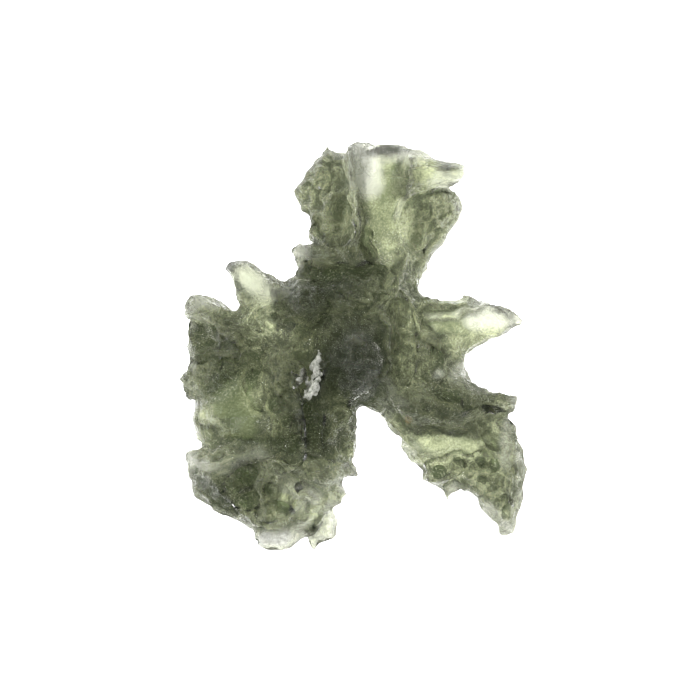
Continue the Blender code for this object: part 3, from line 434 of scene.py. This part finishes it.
def add_node(tree, kind, links=(), **settings):
    """Adds a shader node, sets its inputs or properties by name, and links (output, input) pairs into it."""
    node = tree.nodes.new(kind)
    for key, value in settings.items():
        if hasattr(node, key):
            setattr(node, key, value)
        else:
            node.inputs[key.replace("_", " ")].default_value = value
    for output, socket in links:
        tree.links.new(output, node.inputs[socket])
    return node


glass_look = bpy.data.materials.new("etched bottle-green natural glass")
glass_look.use_nodes = True
tree = glass_look.node_tree
tree.nodes.clear()
fine_relief = add_node(tree, "ShaderNodeAttribute", attribute_name="fine_relief").outputs["Fac"]
broad_relief = add_node(tree, "ShaderNodeAttribute", attribute_name="broad_relief").outputs["Fac"]
etched_share = add_node(tree, "ShaderNodeAttribute", attribute_name="etched").outputs["Fac"]
unshaded_share = add_node(tree, "ShaderNodeAttribute", attribute_name="unshaded").outputs["Fac"]
frost_and_highlight_share = add_node(tree, "ShaderNodeAttribute", attribute_name="frost_and_highlight").outputs["Fac"]
rust_share = add_node(tree, "ShaderNodeAttribute", attribute_name="rust").outputs["Fac"]

# The patterns are the etched grain, single specks, patches of gloss, hairline cracks and flow streaks.
place = add_node(tree, "ShaderNodeTexCoord").outputs["Object"]
grain = add_node(tree, "ShaderNodeTexNoise", [(place, "Vector")],
                 Scale=1 / (GRAIN * MM), Detail=6.0, Roughness=0.75).outputs["Fac"]
specks = add_node(tree, "ShaderNodeTexNoise", [(place, "Vector")],
                  Scale=1 / (SPECKS * MM), Detail=2.0, Roughness=0.6).outputs["Fac"]
patches = add_node(tree, "ShaderNodeTexNoise", [(place, "Vector")],
                   Scale=1 / (GLOSS_PATCHES * MM), Detail=3.0, Roughness=0.5).outputs["Fac"]
bent = add_node(tree, "ShaderNodeTexNoise", [(place, "Vector")],
                Scale=1 / (CRACK_BEND * MM), Detail=3.0, Roughness=0.6).outputs["Color"]
bend = add_node(tree, "ShaderNodeVectorMath", [(bent, 0)],
                operation="SCALE", Scale=CRACK_BEND * MM).outputs["Vector"]
bent_place = add_node(tree, "ShaderNodeVectorMath", [(place, 0), (bend, 1)],
                      operation="ADD").outputs["Vector"]
cracks = add_node(tree, "ShaderNodeTexVoronoi", [(bent_place, "Vector")],
                  feature="DISTANCE_TO_EDGE", Scale=1 / (CRACK_SPACING * MM)).outputs["Distance"]
crack_dip = add_node(tree, "ShaderNodeMapRange", [(cracks, "Value")],
                     From_Min=0.0, From_Max=CRACK_WIDTH, To_Min=0.0, To_Max=1.0).outputs["Result"]
drawn_place = add_node(tree, "ShaderNodeMapping", [(place, "Vector")], Scale=STREAK_STRETCH).outputs["Vector"]
streaks = add_node(tree, "ShaderNodeTexNoise", [(drawn_place, "Vector")],
                   Scale=1 / (STREAK_WIDTH * MM), Detail=3.0, Roughness=0.6).outputs["Fac"]

# Each pattern leaves a share of the light, and all the shares together pick the colour of the skin; the
# relief shares and the share from the hollows and zones are painted shade.
grain_share = add_node(tree, "ShaderNodeMapRange", [(grain, "Value")],
                       From_Min=0.38, From_Max=0.56, To_Min=0.7, To_Max=1.0).outputs["Result"]
speck_share = add_node(tree, "ShaderNodeMapRange", [(specks, "Value")],
                       From_Min=0.42, From_Max=0.58, To_Min=0.4, To_Max=1.0).outputs["Result"]
# Painted shade: creases are darkened by how far they lie below the glass around them, at two sizes.
fine_relief_shade = add_node(tree, "ShaderNodeMapRange", [(fine_relief, "Value")],
                      From_Min=0.1, From_Max=0.7, To_Min=0.28, To_Max=1.0).outputs["Result"]
broad_relief_shade = add_node(tree, "ShaderNodeMapRange", [(broad_relief, "Value")],
                       From_Min=0.2, From_Max=0.65, To_Min=0.55, To_Max=1.0).outputs["Result"]
crack_share = add_node(tree, "ShaderNodeMapRange", [(crack_dip, "Value")],
                       To_Min=0.85, To_Max=1.0).outputs["Result"]
streak_share = add_node(tree, "ShaderNodeMapRange", [(streaks, "Value")],
                        From_Min=0.35, From_Max=0.6, To_Min=0.82, To_Max=1.0).outputs["Result"]
share = grain_share
for other_share in (fine_relief_shade, speck_share, broad_relief_shade, crack_share, streak_share, unshaded_share):
    share = add_node(tree, "ShaderNodeMath", [(share, 0), (other_share, 1)], operation="MULTIPLY").outputs[0]
# Painted glints: the palest specks are whitened into the skin's colour.
painted_glints = add_node(tree, "ShaderNodeMapRange", [(specks, "Value")],
                       From_Min=0.56, From_Max=0.66, To_Min=0.0, To_Max=0.22).outputs["Result"]
painted_glints = add_node(tree, "ShaderNodeMath", [(painted_glints, 0), (etched_share, 1)],
                       operation="MULTIPLY").outputs[0]
frost_and_glints = add_node(tree, "ShaderNodeMath", [(frost_and_highlight_share, 0), (grain_share, 1)],
                       operation="MULTIPLY").outputs[0]
frost_and_glints = add_node(tree, "ShaderNodeMath", [(frost_and_glints, 0), (painted_glints, 1)],
                       operation="MAXIMUM").outputs[0]
share = add_node(tree, "ShaderNodeMath", [(share, 0), (frost_and_glints, 1)], operation="MAXIMUM").outputs[0]
skin = add_node(tree, "ShaderNodeMix", [(share, "Factor")], data_type="RGBA")
skin.inputs[MIX_FIRST].default_value = linear("2c3520")
skin.inputs[MIX_SECOND].default_value = linear("dadfb6")
whitened_skin = add_node(tree, "ShaderNodeMix", [(frost_and_glints, "Factor"), (skin.outputs[MIX_RESULT], MIX_FIRST)],
                   data_type="RGBA")
whitened_skin.inputs[MIX_SECOND].default_value = linear("fbfbf6")
rusted = add_node(tree, "ShaderNodeMix", [(rust_share, "Factor"), (whitened_skin.outputs[MIX_RESULT], MIX_FIRST)],
                  data_type="RGBA")
rusted.inputs[MIX_SECOND].default_value = linear("bf9c5c")

# Frost, painted highlights and etching scatter a part of the light, and the grain and cracks roughen the
# etched skin.
unwhitened = add_node(tree, "ShaderNodeMapRange", [(frost_and_glints, "Value")],
                     From_Min=0.0, From_Max=1.0, To_Min=1.0, To_Max=0.5).outputs["Result"]
unetched = add_node(tree, "ShaderNodeMapRange", [(etched_share, "Value")],
                    From_Min=SMOOTHEST, From_Max=1.0, To_Min=0.96, To_Max=0.91).outputs["Result"]
clear = add_node(tree, "ShaderNodeMath", [(unwhitened, 0), (unetched, 1)], operation="MULTIPLY").outputs[0]
roughness = add_node(tree, "ShaderNodeMapRange", [(patches, "Value")],
                     From_Min=0.35, From_Max=0.65, To_Min=0.1, To_Max=0.3).outputs["Result"]
grain_height = add_node(tree, "ShaderNodeMath", [(grain, 0)], operation="MULTIPLY")
grain_height.inputs[1].default_value = GRAIN_HEIGHT
height = add_node(tree, "ShaderNodeMath", [(crack_dip, 0), (grain_height.outputs[0], 2)],
                  operation="MULTIPLY_ADD")
height.inputs[1].default_value = CRACK_DEPTH
height = add_node(tree, "ShaderNodeMath", [(height.outputs[0], 0), (etched_share, 1)],
                  operation="MULTIPLY").outputs[0]
bump = add_node(tree, "ShaderNodeBump", [(height, "Height")],
                Strength=1.0, Distance=BUMP_DEPTH * MM).outputs["Normal"]
surface = add_node(tree, "ShaderNodeBsdfPrincipled",
                   [(roughness, "Roughness"), (bump, "Normal"), (rusted.outputs[MIX_RESULT], "Base Color"),
                    (clear, "Transmission Weight")], IOR=GLASS_IOR)
inside = add_node(tree, "ShaderNodeVolumeAbsorption", Color=linear("aaad9e"), Density=GLASS_DENSITY)
add_node(tree, "ShaderNodeOutputMaterial",
         [(surface.outputs["BSDF"], "Surface"), (inside.outputs["Volume"], "Volume")])
stone_mesh.materials.append(glass_look)

# The silvery flake's finish
# The sliver is so thin and cracked that it looks white, with grey fibres along it. It belongs to the
# same glass, so it is a part of the stone's own surface, and only its finish differs.
FIBRE_WIDTH = 0.25
FIBRE_DEPTH = 0.1
WHOLLY_FLAKE = 0.5
flake_look = bpy.data.materials.new("cracked white glass sliver")
flake_look.use_nodes = True
tree = flake_look.node_tree
place = add_node(tree, "ShaderNodeTexCoord").outputs["Object"]
fibres = add_node(tree, "ShaderNodeTexNoise", [(place, "Vector")],
                  Scale=1 / (FIBRE_WIDTH * MM), Detail=5.0, Roughness=0.8).outputs["Fac"]
pale_share = add_node(tree, "ShaderNodeMapRange", [(fibres, "Value")],
                      From_Min=0.4, From_Max=0.6, To_Min=0.1, To_Max=1.0).outputs["Result"]
sliver = add_node(tree, "ShaderNodeMix", [(pale_share, "Factor")], data_type="RGBA")
sliver.inputs[MIX_FIRST].default_value = linear("6f7462")
sliver.inputs[MIX_SECOND].default_value = linear("e2e2d8")
sliver_bump = add_node(tree, "ShaderNodeBump", [(fibres, "Height")], Strength=0.8, Distance=FIBRE_DEPTH * MM)
shader = tree.nodes["Principled BSDF"]
shader.inputs["Roughness"].default_value = 0.35
shader.inputs["IOR"].default_value = GLASS_IOR
tree.links.new(sliver.outputs[MIX_RESULT], shader.inputs["Base Color"])
tree.links.new(sliver_bump.outputs["Normal"], shader.inputs["Normal"])
stone_mesh.materials.append(flake_look)
for face in stone_mesh.polygons:
    if min(flake[corner] for corner in face.vertices) > WHOLLY_FLAKE:
        face.material_index = 1

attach(stone, "root")
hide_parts("moldavite")

# The floor
# A plain white table, lit evenly from within, so that light also comes up through the stone.
FLOOR_SIZE = 1200.0
bpy.ops.mesh.primitive_plane_add(size=FLOOR_SIZE * MM)
floor = bpy.context.object
floor.name = "pale_floor"
pale = bpy.data.materials.new("plain white light table")
pale.use_nodes = True
shader = pale.node_tree.nodes["Principled BSDF"]
shader.inputs["Base Color"].default_value = linear("b4b4b2")
shader.inputs["Roughness"].default_value = 0.9
shader.inputs["Emission Color"].default_value = linear("ffffff")
shader.inputs["Emission Strength"].default_value = 4.7
floor.data.materials.append(pale)

# The light
# A pale room with a dim ceiling all round, and two soft boxes that give the crests their glints:
# (name, place in metres, size in metres, power in watts).
SOFTBOXES = (
    ("left softbox", (-0.4, 0.35, 0.38), 0.14, 2.1),
    ("right softbox", (0.4, -0.1, 0.5), 0.12, 0.4),
)
world = bpy.data.worlds.new("soft room light")
world.use_nodes = True
room = world.node_tree
sky = add_node(room, "ShaderNodeTexCoord").outputs["Generated"]
upward = add_node(room, "ShaderNodeSeparateXYZ", [(sky, 0)]).outputs["Z"]
walls = add_node(room, "ShaderNodeMapRange", [(upward, "Value")],
                 From_Min=0.25, From_Max=0.85, To_Min=0.75, To_Max=0.2)
room.links.new(walls.outputs["Result"], room.nodes["Background"].inputs["Strength"])
room.nodes["Background"].inputs["Color"].default_value = linear("eef0f0")
bpy.context.scene.world = world
for name, spot, size, power in SOFTBOXES:
    lamp_data = bpy.data.lights.new(name, "AREA")
    lamp_data.size = size
    lamp_data.energy = power
    lamp = bpy.data.objects.new(name, lamp_data)
    lamp.location = spot
    lamp.rotation_euler = Vector(spot).to_track_quat("Z", "Y").to_euler()
    bpy.context.scene.collection.objects.link(lamp)

# The camera
# It looks straight down on the stone, as the photograph does, from far enough to keep it flat.
# The picture's width is taken at half the height of the stone.
PICTURE_WIDTH = 47.6
PICTURE_MIDDLE = (-0.24, -0.24)
CAMERA_HEIGHT = 600.0
MIDDLE_HEIGHT = 5.0
NEAREST_SEEN = 10.0
camera_data = bpy.data.cameras.new("camera")
camera_data.lens = camera_data.sensor_width * (CAMERA_HEIGHT - MIDDLE_HEIGHT) / PICTURE_WIDTH
camera_data.clip_start = NEAREST_SEEN * MM
camera = bpy.data.objects.new("camera", camera_data)
camera.location = Vector((*PICTURE_MIDDLE, CAMERA_HEIGHT)) * MM
bpy.context.scene.collection.objects.link(camera)
bpy.context.scene.camera = camera
bpy.context.scene.view_settings.view_transform = "Standard"
